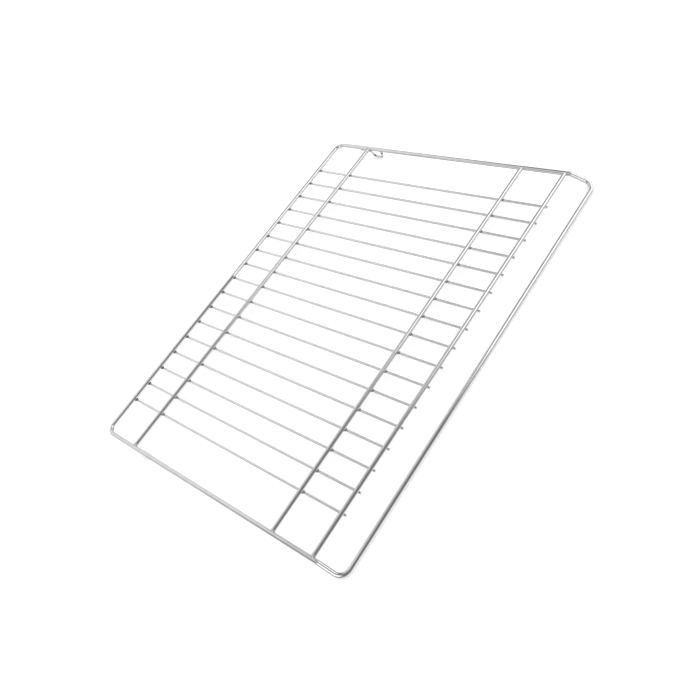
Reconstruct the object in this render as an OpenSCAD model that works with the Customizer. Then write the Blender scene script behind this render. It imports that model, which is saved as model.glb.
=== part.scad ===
// Wire cooling rack: one closed frame wire with a turned-down front edge, three cross bars of the
// same gauge, a row of thin rods welded under them, and a bent-wire lug under each side.
// X runs along the bars, +Y is the rear edge, +Z is up, and the rack stands on z = 0.

/* [Overall] */
// Outside width, along the bars
rack_w = 465; // [380:1:600]
// Outside depth, from the rear edge to the front edge
rack_d = 357.5; // [300:0.5:480]

/* [Frame wire] */
// Diameter of the frame wire
frame_wire_d = 4.5; // [3.5:0.1:6]
// Centreline radius of the four corners
corner_r = 10; // [8:0.5:16]
// Drop from the deck to the front edge, centre to centre
front_drop = 11; // [8:0.5:13]
// Distance from the front bar to the front edge, centre to centre
front_reach = 30.5; // [26:0.5:45]
// Distance from the front bar to where the side wires turn down
turn_gap = 6; // [6:0.5:9]
// Centreline radius of the bend where the side wires turn down
turn_r = 8; // [6:0.5:10]

/* [Cross bars] */
// Diameter of the three cross bars
bar_d = 4.5; // [3.5:0.1:6]
// Distance from the rear edge to the rear bar, centre to centre
rear_bay = 52; // [42:1:70]
// Distance from the middle bar to the front bar, centre to centre
front_bay = 51; // [42:1:70]
// Flat left at the tips of the bar ends, which stop this far short of the side wires' centres
bar_tip = 1; // [0.6:0.1:1.4]

/* [Rods] */
// Number of rods
rod_count = 17; // [9:1:19]
// Diameter of the rods
rod_d = 2.5; // [2:0.1:3.5]
// Distance from the side wires to the outermost rods, centre to centre
end_gap = 45.7; // [20:0.1:60]
// How far the rods are pressed into the bars as they are welded
rod_set = 0.5; // [0.2:0.05:0.8]
// Rod end past the centre of the rear edge
rod_rear_end = 2; // [1:0.1:2.2]
// Rod end past the centre of the front bar
rod_front_end = 3.5; // [2.8:0.1:5]

/* [Lugs] */
// Diameter of the lug wire
lug_d = 2.5; // [2:0.1:3.5]
// How far the lugs are pressed into the side wires as they are welded
lug_set = 0.3; // [0.1:0.05:0.6]
// Start of the lug's welded leg, behind the rear bar
lug_start = 14.5; // [10:0.5:20]
// Length of the lug's welded leg
lug_leg = 15; // [10:0.5:24]
// Distance from the leg's bend to the loop's end in the side wire
loop_w = 19; // [18:0.5:26]
// Length of the bottom of the loop, between its corner points
loop_bottom = 11.5; // [10:0.5:13]
// Set-back of the loop's bottom from the leg
loop_slope = 5.5; // [4:0.5:8]
// Bend radius where the leg turns down
leg_bend_r = 2.5; // [2:0.1:3]
// Bend radius of the loop's two bottom corners
loop_bend_r = 6; // [3:0.1:6.4]

/* [Fits] */
// Gap left between welded wires
weld_gap = 0; // [0:0.01:0.1]

/* [Hidden] */
$fn = 48;
rod_names = [for (i = [1:rod_count]) str("rod_", i < 10 ? "0" : "", i)];

// Centrelines of the frame
side_x = (rack_w - frame_wire_d) / 2;
rear_y = (rack_d - frame_wire_d) / 2;
front_y = -rear_y;
front_z = frame_wire_d / 2;
deck_z = front_z + front_drop;

// Centrelines of the bars, and the corner point where the side wires turn down
rear_bar_y = rear_y - rear_bay;
front_bar_y = front_y + front_reach;
middle_bar_y = front_bar_y + front_bay;
turn_y = front_bar_y - turn_gap;

// The side wires' slope down to the front edge
turn_angle = atan2(front_drop, turn_y - front_y);
turn_setback = setback(turn_angle, turn_r);
slope_length = norm([turn_y - front_y, front_drop]);

// Rods are spread evenly between the two end gaps, and hang under the bars and the rear edge
rod_pitch = 2 * (side_x - end_gap) / (rod_count - 1);
rod_z = deck_z - (bar_d + rod_d) / 2 + rod_set;

// Lugs hang under the side wires, and their loops reach the plane the rack stands on
lug_y = rear_bar_y + lug_start;
leg_z = deck_z - (frame_wire_d + lug_d) / 2 + lug_set;
loop_z = lug_d / 2;

// The loop's way down from the leg, and its way up into the side wire
loop_end = loop_w - loop_slope - loop_bottom;
down_angle = atan2(leg_z - loop_z, loop_slope);
down_length = norm([leg_z - loop_z, loop_slope]);
up_angle = atan2(deck_z - loop_z, loop_end);
up_length = norm([deck_z - loop_z, loop_end]);

// Bends reach this far into the straights on both sides, and drawing a bend thins its wire a little
bend_lap = 0.1;
bend_thinning = 0.03;

plated = "gainsboro";

// Length that a bend takes up on each of the two straights it joins
function setback(angle, r) = r * tan(angle / 2);

// A straight length of wire along Z, with what follows it at its end
module run(length, d) {
    cylinder(d = d, h = length);
    translate([0, 0, length])
        children();
}

// A bend in wire that comes along Z, towards the side that roll turns from -X, and what follows it
module turn(angle, r, d, roll) {
    spare = bend_lap / r * 180 / PI;
    rotate([0, 0, roll])
        translate([-r, 0, 0]) {
            rotate([90, 0, 0])
                rotate([0, 0, -spare])
                    rotate_extrude(angle = angle + 2 * spare)
                        translate([r, 0])
                            circle(d = d - bend_thinning);
            rotate([0, -angle, 0])
                translate([r, 0, 0])
                    children();
        }
}

// Room that a wire along X takes out of what is welded to it
module wire_seat_x(y, z, d) {
    translate([-rack_w, y, z])
        rotate([0, 90, 0])
            cylinder(d = d + 2 * weld_gap, h = 2 * rack_w);
}

// Room that the side wires take out of what is welded to them
module side_seats() {
    for (side = [-1, 1])
        translate([side * side_x, -rack_d, deck_z])
            rotate([-90, 0, 0])
                cylinder(d = frame_wire_d + 2 * weld_gap, h = 2 * rack_d);
}

// A straight of the frame along X, between the corners at one height
module frame_straight(y, z) {
    translate([corner_r - side_x, y, z])
        rotate([0, 90, 0])
            run(2 * (side_x - corner_r), frame_wire_d);
}

// The right side of the frame, from the rear corner round to the front corner
module frame_side() {
    translate([side_x - corner_r, rear_y, deck_z])
        rotate([0, 90, 0])
            turn(90, corner_r, frame_wire_d, 90)
                run(rear_y - turn_y - corner_r - turn_setback, frame_wire_d)
                    turn(turn_angle, turn_r, frame_wire_d, 90)
                        run(slope_length - turn_setback - corner_r, frame_wire_d)
                            turn(90, corner_r, frame_wire_d, -90);
}

// One closed wire: rear edge, both sides, the turned-down front and four rounded corners
module frame_wire() {
    color(plated) {
        frame_straight(rear_y, deck_z);
        frame_straight(front_y, front_z);
        frame_side();
        mirror([1, 0, 0]) frame_side();
    }
}

// A bar between the side wires, its ends shaped to them
module cross_bar(y) {
    length = 2 * (side_x - bar_tip);
    color(plated)
        difference() {
            translate([-length / 2, y, deck_z])
                rotate([0, 90, 0])
                    run(length, bar_d);
            side_seats();
        }
}

// A rod from the rear edge to just past the front bar, seated under all four
module rod(number) {
    start_y = rear_y + rod_rear_end;
    color(plated)
        difference() {
            translate([(number - (rod_count + 1) / 2) * rod_pitch, start_y, rod_z])
                rotate([90, 0, 0])
                    run(start_y - front_bar_y + rod_front_end, rod_d);
            wire_seat_x(rear_y, deck_z, frame_wire_d);
            for (y = [rear_bar_y, middle_bar_y, front_bar_y])
                wire_seat_x(y, deck_z, bar_d);
        }
}

// A leg welded along the side wire, then a loop down to the standing plane and back up
module lug(side) {
    leg_setback = setback(down_angle, leg_bend_r);
    rear_setback = setback(down_angle, loop_bend_r);
    front_setback = setback(up_angle, loop_bend_r);
    color(plated)
        difference() {
            translate([side * side_x, lug_y, leg_z])
                rotate([90, 0, 0])
                    run(lug_leg - leg_setback, lug_d)
                        turn(down_angle, leg_bend_r, lug_d, 90)
                            run(down_length - leg_setback - rear_setback, lug_d)
                                turn(down_angle, loop_bend_r, lug_d, 180)
                                    run(loop_bottom - rear_setback - front_setback, lug_d)
                                        turn(up_angle, loop_bend_r, lug_d, 0)
                                            run(up_length - front_setback, lug_d);
            side_seats();
        }
}

frame_wire();
cross_bar(rear_bar_y);  // rear_bar
cross_bar(middle_bar_y);  // middle_bar
cross_bar(front_bar_y);  // front_bar
lug(-1);  // left_lug
lug(1);  // right_lug
for (i = [1:rod_count])
    rod(i);
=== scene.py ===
import math
import bpy
from mathutils import Matrix, Vector


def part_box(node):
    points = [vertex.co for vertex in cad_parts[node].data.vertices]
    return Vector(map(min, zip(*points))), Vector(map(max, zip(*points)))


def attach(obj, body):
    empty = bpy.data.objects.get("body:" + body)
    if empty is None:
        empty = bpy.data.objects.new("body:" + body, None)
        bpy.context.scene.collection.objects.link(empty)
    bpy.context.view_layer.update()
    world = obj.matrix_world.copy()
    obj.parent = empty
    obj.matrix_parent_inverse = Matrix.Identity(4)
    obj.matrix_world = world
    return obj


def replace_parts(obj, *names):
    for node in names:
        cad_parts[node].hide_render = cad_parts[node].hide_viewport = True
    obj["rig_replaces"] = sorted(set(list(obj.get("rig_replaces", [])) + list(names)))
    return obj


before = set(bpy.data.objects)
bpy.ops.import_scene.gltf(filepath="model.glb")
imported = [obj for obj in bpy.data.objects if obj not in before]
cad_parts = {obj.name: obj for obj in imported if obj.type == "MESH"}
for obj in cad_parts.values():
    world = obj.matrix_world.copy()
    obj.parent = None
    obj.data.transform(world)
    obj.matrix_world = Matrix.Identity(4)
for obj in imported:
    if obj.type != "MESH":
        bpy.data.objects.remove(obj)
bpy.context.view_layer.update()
scene = bpy.context.scene
scene.view_settings.view_transform = "Standard"
mm = 0.001
print("stage 1: CAD frame loaded,", len(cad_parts), "nodes")


# ---- camera

camera = {
    "place": (-273.41, -517.54, 545.19),  # mm, above the rack's left front corner
    "right": (0.54981029, -0.73066059, -0.40477618),
    "up": (0.77438219, 0.26421782, 0.5749097),
    "ahead": (0.31311478, 0.62954273, -0.71108022),
    "lens": 38.49,
    "sensor": 36,
    "shift": 0.5 / 700,  # of the picture's width
}

bpy.ops.object.select_all(action="DESELECT")
axes = Matrix([camera["right"], camera["up"], [-part for part in camera["ahead"]]]).transposed()
bpy.ops.object.camera_add(location=Vector(camera["place"]) * mm, rotation=axes.to_euler())
viewer = bpy.context.object
viewer.data.lens = camera["lens"]
viewer.data.sensor_width = camera["sensor"]
viewer.data.shift_x = -camera["shift"]
viewer.data.shift_y = camera["shift"]
viewer.data.clip_start = 10 * mm
scene.camera = viewer
print("stage 2: camera set")


# ---- materials

def linear(hexColour):
    channels = [int(hexColour[i : i + 2], 16) / 255 for i in (1, 3, 5)]
    return [c / 12.92 if c <= 0.04045 else ((c + 0.055) / 1.055) ** 2.4 for c in channels] + [1]


def addNode(tree, kind, settings=None, values=None, links=None):
    # one node with its properties, its unlinked inputs, and what feeds its other inputs
    node = tree.nodes.new(kind)
    for key, value in (settings or {}).items():
        setattr(node, key, value)
    for key, value in (values or {}).items():
        node.inputs[key].default_value = value
    for key, source in (links or {}).items():
        tree.links.new(source, node.inputs[key])
    return node


def emptyMaterial(name):
    made = bpy.data.materials.new(name)
    made.use_nodes = True
    made.node_tree.nodes.clear()
    return made, made.node_tree


plate = {
    "bright": "#DFDFDF",  # nickel and chrome over drawn steel wire
    "dull": "#CACACA",  # where the plating is thinner
    "smooth": 0.05,
    "rough": 0.15,
    "dieLineWidth": 0.5,  # mm between the lines that the drawing die leaves, drawn coarse enough to show
    "dieLineLength": 45,  # mm
    "dieLineDepth": 0.0006,  # mm
    "patch": 9,  # mm between duller patches
    "wave": 14,  # mm between the slight waves of straightened wire
    "waveDepth": 0.012,  # mm
    "paintedReflectionColour": "#3E3E3E",  # painted dark reflection on the lug's bends
    "paintedDarkReflections": (),  # in mm, how far along the wire each painted dark reflection is and how far it fades to either side
}
# the lugs carry painted dark reflections at their bends
lugPlate = dict(plate, bright="#E4E4E4", dull="#D6D6D6", smooth=0.03, rough=0.08,
                paintedDarkReflections=((15, 2.04), (23.2, 2.55), (41.5, 2.38)))


def platedWire(name, plating):
    # bright nickel-chrome plate on cold drawn wire: a mirror with faint lengthwise lines,
    # which stretches each reflection into a clean streak along the wire
    made, tree = emptyMaterial(name)
    along = addNode(tree, "ShaderNodeAttribute", {"attribute_name": "alongWire"})
    across = 1 / (plating["dieLineWidth"] * mm)
    lengthwise = 1 / (plating["dieLineLength"] * mm)
    lines = addNode(tree, "ShaderNodeMapping", values={"Scale": (lengthwise, across, across)},
                    links={"Vector": along.outputs["Vector"]})
    dieLines = addNode(tree, "ShaderNodeTexNoise", values={"Scale": 1, "Detail": 3, "Roughness": 0.6},
                       links={"Vector": lines.outputs["Vector"]})
    place = addNode(tree, "ShaderNodeTexCoord")
    patches = addNode(tree, "ShaderNodeTexNoise", values={"Scale": 1 / (plating["patch"] * mm), "Detail": 4},
                      links={"Vector": place.outputs["Object"]})
    waves = addNode(tree, "ShaderNodeTexNoise", values={"Scale": 1 / (plating["wave"] * mm), "Detail": 1},
                    links={"Vector": place.outputs["Object"]})
    colour = addNode(tree, "ShaderNodeMix", {"data_type": "RGBA"},
                     {"A": linear(plating["bright"]), "B": linear(plating["dull"])})
    tree.links.new(patches.outputs["Fac"], colour.inputs[0])
    finish = colour.outputs[2]
    # each listed spot darkens the plating: a painted dark reflection where the bent wire mirrors dark
    # surroundings
    for spot, reach in plating["paintedDarkReflections"]:
        parts = addNode(tree, "ShaderNodeSeparateXYZ", links={0: along.outputs["Vector"]})
        off = addNode(tree, "ShaderNodeMath", {"operation": "SUBTRACT"},
                      {1: spot * mm}, {0: parts.outputs["X"]})
        gap = addNode(tree, "ShaderNodeMath", {"operation": "ABSOLUTE"}, links={0: off.outputs[0]})
        near = addNode(tree, "ShaderNodeMapRange", {"interpolation_type": "SMOOTHSTEP"},
                       {"From Min": 0, "From Max": reach * mm, "To Min": 1, "To Max": 0},
                       {"Value": gap.outputs[0]})
        reflectionPainted = addNode(tree, "ShaderNodeMix", {"data_type": "RGBA"}, {"B": linear(plating["paintedReflectionColour"])})
        tree.links.new(finish, reflectionPainted.inputs[6])
        tree.links.new(near.outputs["Result"], reflectionPainted.inputs[0])
        finish = reflectionPainted.outputs[2]
    dulling = addNode(tree, "ShaderNodeMath", {"operation": "MULTIPLY"},
                      links={0: dieLines.outputs["Fac"], 1: patches.outputs["Fac"]})
    roughness = addNode(tree, "ShaderNodeMapRange",
                        values={"From Min": 0.1, "From Max": 0.45,
                                "To Min": plating["smooth"], "To Max": plating["rough"]},
                        links={"Value": dulling.outputs[0]})
    waved = addNode(tree, "ShaderNodeBump", values={"Strength": 1, "Distance": plating["waveDepth"] * mm},
                    links={"Height": waves.outputs["Fac"]})
    lined = addNode(tree, "ShaderNodeBump", values={"Strength": 1, "Distance": plating["dieLineDepth"] * mm},
                    links={"Height": dieLines.outputs["Fac"], "Normal": waved.outputs["Normal"]})
    shader = addNode(tree, "ShaderNodeBsdfPrincipled", values={"Metallic": 1},
                     links={"Base Color": finish, "Roughness": roughness.outputs["Result"],
                            "Normal": lined.outputs["Normal"]})
    addNode(tree, "ShaderNodeOutputMaterial", links={"Surface": shader.outputs[0]})
    return made


# spot-weld tones: the pitted, rough weld metal is real, and its dark colour is partly painted shade for the
# dot at each crossing
weldFinishAndShade = {
    "bright": "#969695",  # plating over the upset metal of a spot weld, its colour darkened as painted shade
    "dark": "#3B3A39",
    "rough": 0.42,
    "smooth": 0.26,
    "grain": 0.35,  # mm between the pits
    "pit": 0.03,  # mm deep
}


def platedWeldWithPaintedShade():
    # plated spot-weld flash: pitted and rougher than the wire, with its colour darkened as painted shade, so
    # each crossing shows a small dark dot
    made, tree = emptyMaterial("plated_spot_weld_painted_shade")
    place = addNode(tree, "ShaderNodeTexCoord")
    pits = addNode(tree, "ShaderNodeTexNoise", values={"Scale": 1 / (weldFinishAndShade["grain"] * mm), "Detail": 3},
                   links={"Vector": place.outputs["Object"]})
    colour = addNode(tree, "ShaderNodeMix", {"data_type": "RGBA"},
                     {"A": linear(weldFinishAndShade["dark"]), "B": linear(weldFinishAndShade["bright"])})
    tree.links.new(pits.outputs["Fac"], colour.inputs[0])
    roughness = addNode(tree, "ShaderNodeMapRange",
                        values={"To Min": weldFinishAndShade["smooth"], "To Max": weldFinishAndShade["rough"]},
                        links={"Value": pits.outputs["Fac"]})
    pitted = addNode(tree, "ShaderNodeBump", values={"Strength": 1, "Distance": weldFinishAndShade["pit"] * mm},
                     links={"Height": pits.outputs["Fac"]})
    shader = addNode(tree, "ShaderNodeBsdfPrincipled", values={"Metallic": 1},
                     links={"Base Color": colour.outputs[2], "Roughness": roughness.outputs["Result"],
                            "Normal": pitted.outputs["Normal"]})
    addNode(tree, "ShaderNodeOutputMaterial", links={"Surface": shader.outputs[0]})
    return made


wireMaterial = platedWire("bright_plated_drawn_wire", plate)
lugMaterial = platedWire("burnished_plated_bent_wire", lugPlate)
weldMaterial = platedWeldWithPaintedShade()
print("stage 3: materials made")


# ---- wire drawing

def growRing(move, size):
    # one more ring of the wire, moved on and widened or narrowed
    bpy.ops.mesh.extrude_region_move(TRANSFORM_OT_translate={"value": move})
    if abs(size - 1) > 1e-6:
        bpy.ops.transform.resize(value=(size, size, size))


bending = {
    "step": 6,  # degrees between the rings of a bend
    "fewest": 4,  # steps in the slightest bend
    "crease": 30,  # degrees; sharper edges stay sharp
}


def drawWire(name, corners, diameter, sides, start, finish, closed=False, material=wireMaterial):
    # corners holds each corner point and its bend radius; start and finish hold the rings at the
    # two ends, as distances from the end and widths beside the wire's own
    points = [Vector(point) for point, radius in corners]
    ways = [(b - a).normalized() for a, b in zip(points, points[1:])]
    spot, way, done = points[0].copy(), ways[0], 0.0
    side = way.orthogonal().normalized()
    width = start[0][1]
    bpy.ops.object.select_all(action="DESELECT")
    bpy.ops.mesh.primitive_circle_add(vertices=sides, radius=diameter / 2 * width, location=spot,
                                      rotation=way.to_track_quat("Z", "Y").to_euler())
    piece = bpy.context.object
    piece.name = name
    bpy.ops.object.transform_apply(location=True, rotation=True, scale=True)
    bpy.ops.object.mode_set(mode="EDIT")
    bpy.ops.mesh.select_all(action="SELECT")
    rings = [(spot.copy(), way.copy(), side.copy(), done, diameter / 2 * width)]

    def runTo(length, newWidth):
        nonlocal spot, done, width
        growRing(way * length, newWidth / width)
        spot, done, width = spot + way * length, done + length, newWidth
        rings.append((spot.copy(), way.copy(), side.copy(), done, diameter / 2 * width))

    for gap, newWidth in start[1:]:
        runTo(gap - done, newWidth)
    for point, nextWay, (corner, radius) in zip(points[1:-1], ways[1:], corners[1:-1]):
        angle = way.angle(nextWay)
        setback = radius * math.tan(angle / 2)
        runTo((point - spot).length - setback, 1)
        axis = way.cross(nextWay).normalized()
        centre = spot + axis.cross(way) * radius
        steps = max(bending["fewest"], math.ceil(math.degrees(angle) / bending["step"]))
        # spin turns the other way round its axis when it runs without a window
        bpy.ops.mesh.spin(steps=steps, angle=-angle, center=centre, axis=axis)
        onward = Matrix.Rotation(angle / steps, 3, axis)
        for step in range(steps):
            spot, way, side = centre + onward @ (spot - centre), onward @ way, onward @ side
            done += radius * angle / steps
            rings.append((spot.copy(), way.copy(), side.copy(), done, diameter / 2))
        way = nextWay.copy()
    for gap, newWidth in reversed(finish):
        runTo((points[-1] - spot).length - gap, newWidth)
    bpy.ops.mesh.select_all(action="SELECT")
    if not closed:
        bpy.ops.mesh.fill_holes(sides=0)
    bpy.ops.mesh.normals_make_consistent(inside=False)
    bpy.ops.object.mode_set(mode="OBJECT")
    markAlong(piece, rings)
    if closed:
        bpy.ops.object.mode_set(mode="EDIT")
        bpy.ops.mesh.select_all(action="SELECT")
        bpy.ops.mesh.remove_doubles(threshold=0.001 * mm)
        bpy.ops.mesh.normals_make_consistent(inside=False)
        bpy.ops.object.mode_set(mode="OBJECT")
    bpy.ops.object.shade_smooth_by_angle(angle=math.radians(bending["crease"]))
    piece.data.materials.append(material)
    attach(piece, "root")
    return piece


def markAlong(piece, rings):
    # each point's place on the wire before it was bent: distance along, and across in two directions
    marks = piece.data.attributes.new("alongWire", "FLOAT_VECTOR", "POINT")
    for vertex in piece.data.vertices:
        best, gap = None, 1e9
        for spot, way, side, done, radius in rings:
            off = vertex.co - spot
            miss = abs(off.dot(way)) + abs(off.length - radius)
            if miss < gap:
                best, gap = (done, off.dot(side), off.dot(way.cross(side))), miss
        marks.data[vertex.index].vector = best


# ---- the rack's lines, from the CAD

def middle(node):
    low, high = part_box(node)
    return (low + high) / 2


rodNames = sorted(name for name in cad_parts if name.startswith("rod_"))
frameLow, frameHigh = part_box("frame_wire")
frameWire = {
    "diameter": 4.5,
    "cornerRadius": 10,
    "turnRadius": 8,
    "turnGap": 6,  # from the front bar to where the sides turn down
    "sides": 32,
    "buttWeld": ((0, 1.07), (0.5, 1.07), (1.2, 1)),  # the wire's two ends meet in a low bead
}
half = frameWire["diameter"] / 2 * mm
sideX = frameHigh.x - half
rearY, frontY = frameHigh.y - half, frameLow.y + half
deckZ, frontZ = frameHigh.z - half, half
turnY = middle("front_bar").y - frameWire["turnGap"] * mm


# ---- frame: one wire, bent round and butt welded behind the middle rod

def makeFrame():
    corner, turn = frameWire["cornerRadius"] * mm, frameWire["turnRadius"] * mm
    route = [((0, rearY, deckZ), 0)]
    for side in (1, -1):
        bends = [((side * sideX, rearY, deckZ), corner), ((side * sideX, turnY, deckZ), turn),
                 ((side * sideX, frontY, frontZ), corner)]
        route += bends if side == 1 else bends[::-1]
    route.append(route[0])
    rings = [(gap * mm, size) for gap, size in frameWire["buttWeld"]]
    piece = drawWire("frameWire", route, frameWire["diameter"] * mm, frameWire["sides"],
                     rings, rings, closed=True)
    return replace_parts(piece, "frame_wire")


makeFrame()
print("stage 4: frame wire bent")


# ---- cross bars

crossBar = {
    "diameter": 4.5,
    "sides": 32,
    "buried": 1.2,  # the end stops this far from the side wire's middle
    "collar": ((0, 1), (1.0, 1.13), (1.5, 1.15), (2.0, 1.07), (2.7, 1)),  # upset metal of the butt weld
}


def makeBar(node, name):
    centre = middle(node)
    reach = sideX - crossBar["buried"] * mm
    rings = [(gap * mm, size) for gap, size in crossBar["collar"]]
    ends = [((-reach, centre.y, centre.z), 0), ((reach, centre.y, centre.z), 0)]
    piece = drawWire(name, ends,
                     crossBar["diameter"] * mm, crossBar["sides"], rings, rings)
    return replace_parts(piece, node)


for node, name in (("rear_bar", "rearBar"), ("middle_bar", "middleBar"), ("front_bar", "frontBar")):
    makeBar(node, name)
print("stage 5: cross bars welded in")


# ---- rods, drawn once and copied along the rack

rods = {
    "diameter": 2.5,
    "sides": 20,
    "ends": ((0, 0.96), (0.06, 1)),  # sheared flat, the edge just broken
}


def copyPiece(piece, name, shift):
    made = piece.copy()
    made.data = piece.data.copy()
    made.data.transform(Matrix.Translation(shift))
    made.name = name
    scene.collection.objects.link(made)
    return made


def makeRods():
    low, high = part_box(rodNames[0])
    centre = (low + high) / 2
    rings = [(gap * mm, size) for gap, size in rods["ends"]]
    ends = [((centre.x, high.y, centre.z), 0), ((centre.x, low.y, centre.z), 0)]
    first = drawWire("rod01", ends,
                     rods["diameter"] * mm, rods["sides"], rings, rings)
    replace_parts(first, rodNames[0])
    for node in rodNames[1:]:
        piece = copyPiece(first, "rod" + node[-2:], Vector((middle(node).x - centre.x, 0, 0)))
        piece["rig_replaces"] = []
        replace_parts(piece, node)


makeRods()
print("stage 6:", len(rodNames), "rods laid")


# ---- lugs: a leg along the side wire, then a loop down to the table and back up

lugs = {
    "diameter": 2.5,
    "sides": 24,
    "leg": 15,
    "loopWidth": 19,
    "loopBottom": 11.5,
    "loopSlope": 5.5,
    "legBend": 2.5,
    "loopBend": 6,
    "set": 0.3,  # how far the leg is pressed into the side wire
    "legEnd": ((0, 0.8), (0.12, 0.93), (0.35, 1)),
    "loopEnd": ((0, 1), (2.0, 1.18), (2.7, 1.2), (3.4, 1.08), (4.2, 1)),  # its weld on the side wire
}


def makeLug(node, name):
    low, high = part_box(node)
    x = math.copysign(sideX, middle(node).x)
    legZ = deckZ - (frameWire["diameter"] + lugs["diameter"]) / 2 * mm + lugs["set"] * mm
    bottomZ = low.z + lugs["diameter"] / 2 * mm
    start = high.y
    bend = start - lugs["leg"] * mm
    route = [
        ((x, start, legZ), 0),
        ((x, bend, legZ), lugs["legBend"] * mm),
        ((x, bend - lugs["loopSlope"] * mm, bottomZ), lugs["loopBend"] * mm),
        ((x, bend - (lugs["loopSlope"] + lugs["loopBottom"]) * mm, bottomZ), lugs["loopBend"] * mm),
        ((x, bend - lugs["loopWidth"] * mm, deckZ), 0),
    ]
    piece = drawWire(name, route, lugs["diameter"] * mm, lugs["sides"],
                     [(gap * mm, size) for gap, size in lugs["legEnd"]],
                     [(gap * mm, size) for gap, size in lugs["loopEnd"]], material=lugMaterial)
    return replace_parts(piece, node)


makeLug("left_lug", "leftLug")
makeLug("right_lug", "rightLug")
print("stage 7: lugs bent")


# ---- spot welds: the metal squeezed out where a thin wire was pressed into a thick one

spotWeld = {
    "lip": 1.12,  # the thin edge squeezed out between the wires
    "waist": 0.93,  # just above and below the lip
    "lipHeight": 0.02,  # mm either side of the middle
    "waistHeight": 0.4,  # of the half-size
    "seam": 0.25,  # mm from the thick wire's underside down to the lip
    "segments": 14,
    "rings": 8,
    # half-sizes in mm across the thin wire, along it and in height
    "rearEdge": (1.9, 2.6, 0.95),
    "bars": (1.9, 3.0, 1.0),
    "frontBar": (1.6, 1.7, 0.8),
    "rearEdgeShift": -1.0,  # mm, because the rods stop just past the rear edge and the front bar
    "frontBarShift": 2.3,
}


def makeWeld(name, place, across, along, deep):
    bpy.ops.object.select_all(action="DESELECT")
    bpy.ops.mesh.primitive_uv_sphere_add(segments=spotWeld["segments"], ring_count=spotWeld["rings"],
                                         radius=1, location=place, scale=(across * mm, along * mm, deep * mm))
    piece = bpy.context.object
    piece.name = name
    bpy.ops.object.transform_apply(location=True, rotation=True, scale=True)
    edge, level = spotWeld["lipHeight"] * mm, spotWeld["waistHeight"] * deep * mm
    for low, high, size in ((-edge, edge, spotWeld["lip"]), (edge, level, spotWeld["waist"]),
                            (-level, -edge, spotWeld["waist"])):
        for vertex in piece.data.vertices:
            vertex.select = low <= vertex.co.z - place[2] <= high
        for group in (piece.data.edges, piece.data.polygons):
            for part in group:
                part.select = False
        bpy.ops.object.mode_set(mode="EDIT")
        bpy.ops.mesh.select_mode(type="VERT")
        bpy.ops.transform.resize(value=(size, size, 1), center_override=place)
        bpy.ops.object.mode_set(mode="OBJECT")
    bpy.ops.object.shade_smooth()
    piece.data.materials.append(weldMaterial)
    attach(piece, "root")
    return piece


def joinWelds(pieces, name):
    bpy.ops.object.select_all(action="DESELECT")
    for piece in pieces:
        piece.select_set(True)
    bpy.context.view_layer.objects.active = pieces[0]
    bpy.ops.object.join()
    bpy.context.object.name = name


def weldRow(name, y, size):
    x = middle(rodNames[0]).x
    first = makeWeld(name, (x, y, seamZ), *size)
    others = [copyPiece(first, name, Vector((middle(node).x - x, 0, 0))) for node in rodNames[1:]]
    joinWelds([first] + others, name)


seamZ = deckZ - (crossBar["diameter"] / 2 + spotWeld["seam"]) * mm  # where the pressed wires meet
weldRow("rearEdgeWelds", rearY + spotWeld["rearEdgeShift"] * mm, spotWeld["rearEdge"])
weldRow("rearBarWelds", middle("rear_bar").y, spotWeld["bars"])
weldRow("middleBarWelds", middle("middle_bar").y, spotWeld["bars"])
weldRow("frontBarWelds", middle("front_bar").y + spotWeld["frontBarShift"] * mm, spotWeld["frontBar"])

legWelds = {
    # mm in front of the leg's start, and half-sizes as above
    "spots": ((3.5, (1.45, 1.9, 0.7)), (10, (1.45, 1.9, 0.7)), (15.2, (1.5, 1.5, 1.1)),
              (33.2, (1.6, 1.5, 1.2))),
}
for node, name in (("left_lug", "leftLugWelds"), ("right_lug", "rightLugWelds")):
    x = math.copysign(sideX, middle(node).x)
    made = [makeWeld(name, (x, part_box(node)[1].y - along * mm, seamZ), *size)
            for along, size in legWelds["spots"]]
    joinWelds(made, name)
print("stage 8: welds made")


# ---- studio: pale floor, even room light, and a light tent that only the metal mirrors

studio = {
    "floor": "#F7F7F7",
    "floorGlow": 0.25,  # lifts the floor to the white of a lit table
    "floorSize": 16,  # m
    "room": 1.0,
    "tentRadius": 1.0,  # m
    "tentFill": 0.4,  # brightness of the tent between its lights
    "brightest": 2.25,
    "darkest": 0.03,
    "tentLights": (
        # compass angle from +X and height in degrees, half-width of the even part, soft edge, strength
        (331, 24, 21, 22, 2.68),  # main softbox, front right
        (77, 12, 41, 37, 0.65),  # wide softbox behind
        (208, 33, 14, 8, 1.85),  # softbox, front left
        (149, 74, 10, 6, 0.62),  # small one overhead
        (24, 5, 2, 13, 1.44),  # bright strip at the right rear
        (265, -55, 2, 62, 0.92),  # lit table in front
        (349, -36, 6, 27, 2.5),  # lit table at the right
        (158, -28, 21, 6, 0.85),  # lit table at the left rear
        (22, 39, 2, 28, -0.84),  # black cards from here on
        (86, 8, 2, 21, -0.56),
        (333, 18, 27, 12, -1.41),
        (285, 8, 54, 6, -0.16),
        (9, -44, 4, 30, -3.19),
        (50, -47, 18, 22, -0.5),
    ),
}


def makeFloor():
    bpy.ops.object.select_all(action="DESELECT")
    bpy.ops.mesh.primitive_plane_add(size=studio["floorSize"], location=(0, 0, 0))
    floor = bpy.context.object
    floor.name = "paleFloor"
    floor.visible_glossy = False  # the wires mirror the tent's own light below them
    made, tree = emptyMaterial("pale_studio_floor")
    shader = addNode(tree, "ShaderNodeBsdfPrincipled",
                     values={"Base Color": linear(studio["floor"]), "Roughness": 0.9,
                             "Emission Color": (1, 1, 1, 1), "Emission Strength": studio["floorGlow"]})
    addNode(tree, "ShaderNodeOutputMaterial", links={"Surface": shader.outputs[0]})
    floor.data.materials.append(made)


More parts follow.
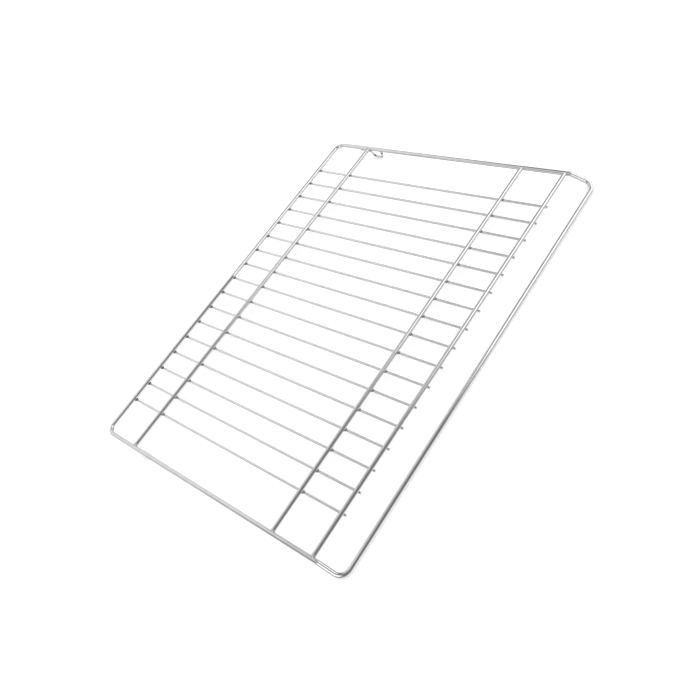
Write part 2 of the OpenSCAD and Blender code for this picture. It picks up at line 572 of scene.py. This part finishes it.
def makeRoom():
    room = bpy.data.worlds.new("evenRoomLight")
    scene.world = room
    room.use_nodes = True
    room.node_tree.nodes.clear()
    light = addNode(room.node_tree, "ShaderNodeBackground",
                    values={"Color": (1, 1, 1, 1), "Strength": studio["room"]})
    addNode(room.node_tree, "ShaderNodeOutputWorld", links={"Surface": light.outputs[0]})


def makeTent():
    bpy.ops.object.select_all(action="DESELECT")
    bpy.ops.mesh.primitive_uv_sphere_add(segments=64, ring_count=32, radius=studio["tentRadius"])
    tent = bpy.context.object
    tent.name = "lightTent"
    for sight in ("camera", "diffuse", "transmission", "shadow", "volume_scatter"):
        setattr(tent, "visible_" + sight, False)
    made, tree = emptyMaterial("light_tent_cloth")
    place = addNode(tree, "ShaderNodeTexCoord")
    way = addNode(tree, "ShaderNodeVectorMath", {"operation": "NORMALIZE"},
                  links={0: place.outputs["Object"]}).outputs["Vector"]
    total = None
    for compass, height, even, soft, strength in studio["tentLights"]:
        turn, rise = math.radians(compass), math.radians(height)
        towards = (math.cos(rise) * math.cos(turn), math.cos(rise) * math.sin(turn), math.sin(rise))
        near = addNode(tree, "ShaderNodeVectorMath", {"operation": "DOT_PRODUCT"}, {1: towards}, {0: way})
        light = addNode(tree, "ShaderNodeMapRange", {"interpolation_type": "SMOOTHSTEP"},
                        {"From Min": math.cos(math.radians(even + soft)),
                         "From Max": math.cos(math.radians(even)), "To Min": 0, "To Max": strength},
                        {"Value": near.outputs["Value"]})
        added = addNode(tree, "ShaderNodeMath", {"operation": "ADD"}, {0: studio["tentFill"]},
                        {1: light.outputs["Result"], **({0: total} if total else {})})
        total = added.outputs[0]
    lit = addNode(tree, "ShaderNodeClamp", values={"Min": studio["darkest"], "Max": studio["brightest"]},
                  links={"Value": total})
    glow = addNode(tree, "ShaderNodeEmission", links={"Strength": lit.outputs[0]})
    addNode(tree, "ShaderNodeOutputMaterial", links={"Surface": glow.outputs[0]})
    tent.data.materials.append(made)


makeFloor()
makeRoom()
makeTent()
print("stage 9: studio lit")
